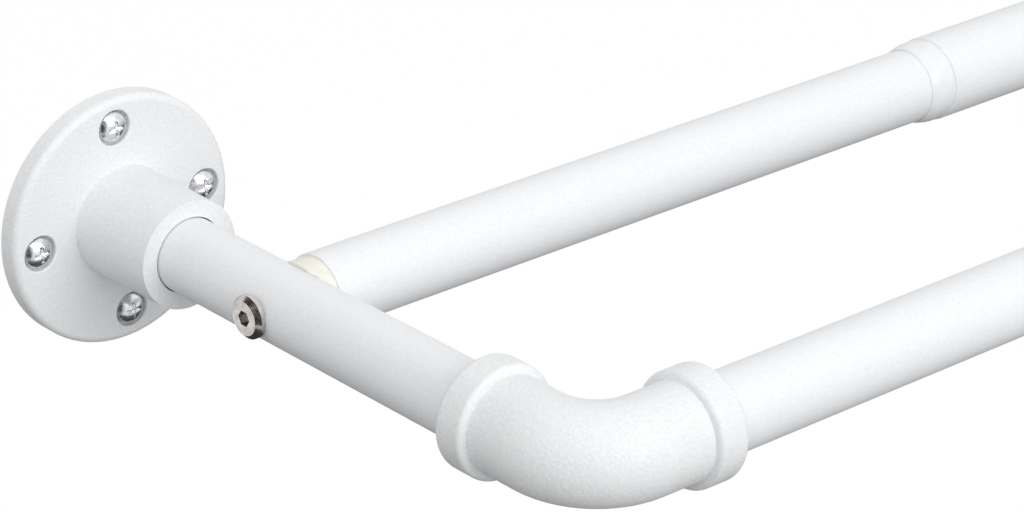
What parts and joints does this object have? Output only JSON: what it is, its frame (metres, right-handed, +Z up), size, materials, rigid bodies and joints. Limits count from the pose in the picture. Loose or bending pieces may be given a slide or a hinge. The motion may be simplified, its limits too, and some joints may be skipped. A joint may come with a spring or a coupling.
{
  "type": "double curtain rod",
  "caption": "Wall-mounted double curtain rod in pipe-fitting style: telescoping back and front rods between flanged return arms with elbows, white powder coated.",
  "frame": {"origin": "centre of the left flange's back face, on the wall plane", "axes": "+X along the rods to the right, +Y into the wall, +Z up"},
  "size_m": [1.177, 0.2205, 0.0732],
  "materials": {
    "white_casting": "white powder coat on castings, fine orange peel",
    "white_tube": "white powder coat on tube, smooth satin",
    "white_plastic": "white moulded plastic",
    "cream_plastic": "natural cream nylon",
    "guide_plastic": "plain grey moulded plastic",
    "zinc_screw": "bright zinc plate",
    "nickel_bolt": "nickel plate",
    "plug_metal": "plain turned steel",
    "insert_brass": "plain turned brass"
  },
  "bodies": {
    "left_end": {"left_wall_flange": "white_casting", "left_flange_screws": "zinc_screw", "left_return_arm": "white_tube", "left_elbow": "white_casting", "left_front_tube": "white_tube", "left_front_end_plug": "plug_metal", "left_back_tube": "white_tube", "left_saddle_plug": "cream_plastic", "left_threaded_insert": "insert_brass", "left_cross_bolt": "nickel_bolt", "left_front_guide": "guide_plastic", "left_back_guide": "guide_plastic"},
    "front_middle": {"front_sleeve": "white_tube", "front_sleeve_left_collar": "white_plastic", "front_sleeve_right_collar": "white_plastic"},
    "back_middle": {"back_sleeve": "white_tube", "back_sleeve_left_collar": "white_plastic", "back_sleeve_right_collar": "white_plastic"},
    "right_end": {"right_wall_flange": "white_casting", "right_flange_screws": "zinc_screw", "right_return_arm": "white_tube", "right_elbow": "white_casting", "right_front_tube": "white_tube", "right_front_end_plug": "plug_metal", "right_back_tube": "white_tube", "right_saddle_plug": "cream_plastic", "right_threaded_insert": "insert_brass", "right_cross_bolt": "nickel_bolt", "right_front_guide": "guide_plastic", "right_back_guide": "guide_plastic"}
  },
  "joints": [
    {"name": "front_sleeve_slide", "type": "slide", "parent": "left_end", "child": "front_middle", "axis": [1, 0, 0], "range_m": [-0.196, 0.0575]},
    {"name": "right_end_slide", "type": "slide", "parent": "front_middle", "child": "right_end", "axis": [1, 0, 0], "range_m": [-0.196, 0.0575]},
    {"name": "back_sleeve_slide", "type": "slide", "parent": "left_end", "child": "back_middle", "axis": [1, 0, 0], "range_m": [-0.196, 0.0575]}
  ],
  "couplings": [
    {"joint": "back_sleeve_slide", "follows": "front_sleeve_slide", "ratio": 1}
  ]
}
